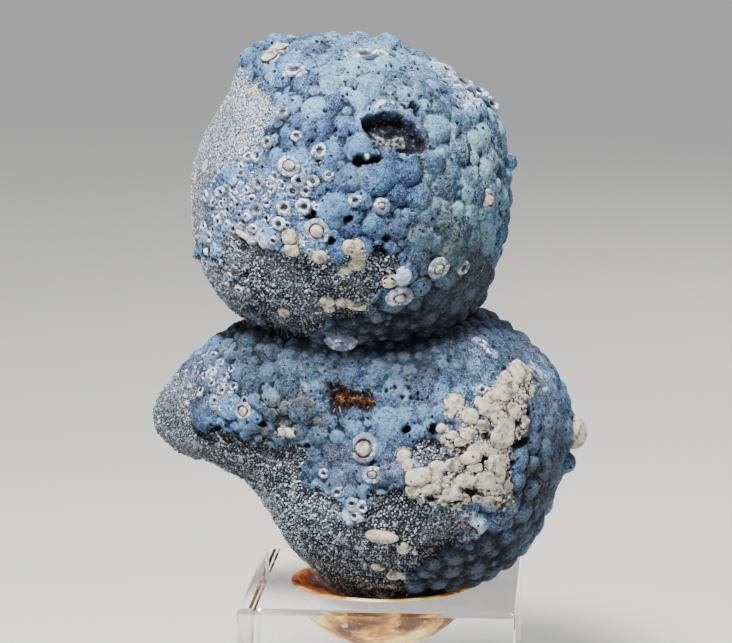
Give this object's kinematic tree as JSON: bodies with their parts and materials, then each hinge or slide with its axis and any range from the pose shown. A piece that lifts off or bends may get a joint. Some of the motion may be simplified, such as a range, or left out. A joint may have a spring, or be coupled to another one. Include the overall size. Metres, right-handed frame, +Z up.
{
  "type": "shattuckite specimen",
  "caption": "Botryoidal blue stone of two grown-together balls, resting on an amber wax bed in the round hollow of a clear display block.",
  "frame": {"origin": "centre of the display block's underside, on the surface it stands on", "axes": "+Z up through the stone; -Y towards the block's front face, -X on the side of the stone's nose; the stone itself is turned 4 degrees about Z against the block"},
  "size_m": [0.0518, 0.0393, 0.086],
  "materials": {
    "shattuckite": "matte, velvety blue lumps over grey quartz grains",
    "display_block": "polished clear acrylic",
    "wax_bed": "translucent amber wax"
  },
  "bodies": {
    "root": {"shattuckite": "shattuckite", "display_block": "display_block", "wax_bed": "wax_bed"}
  },
  "joints": []
}
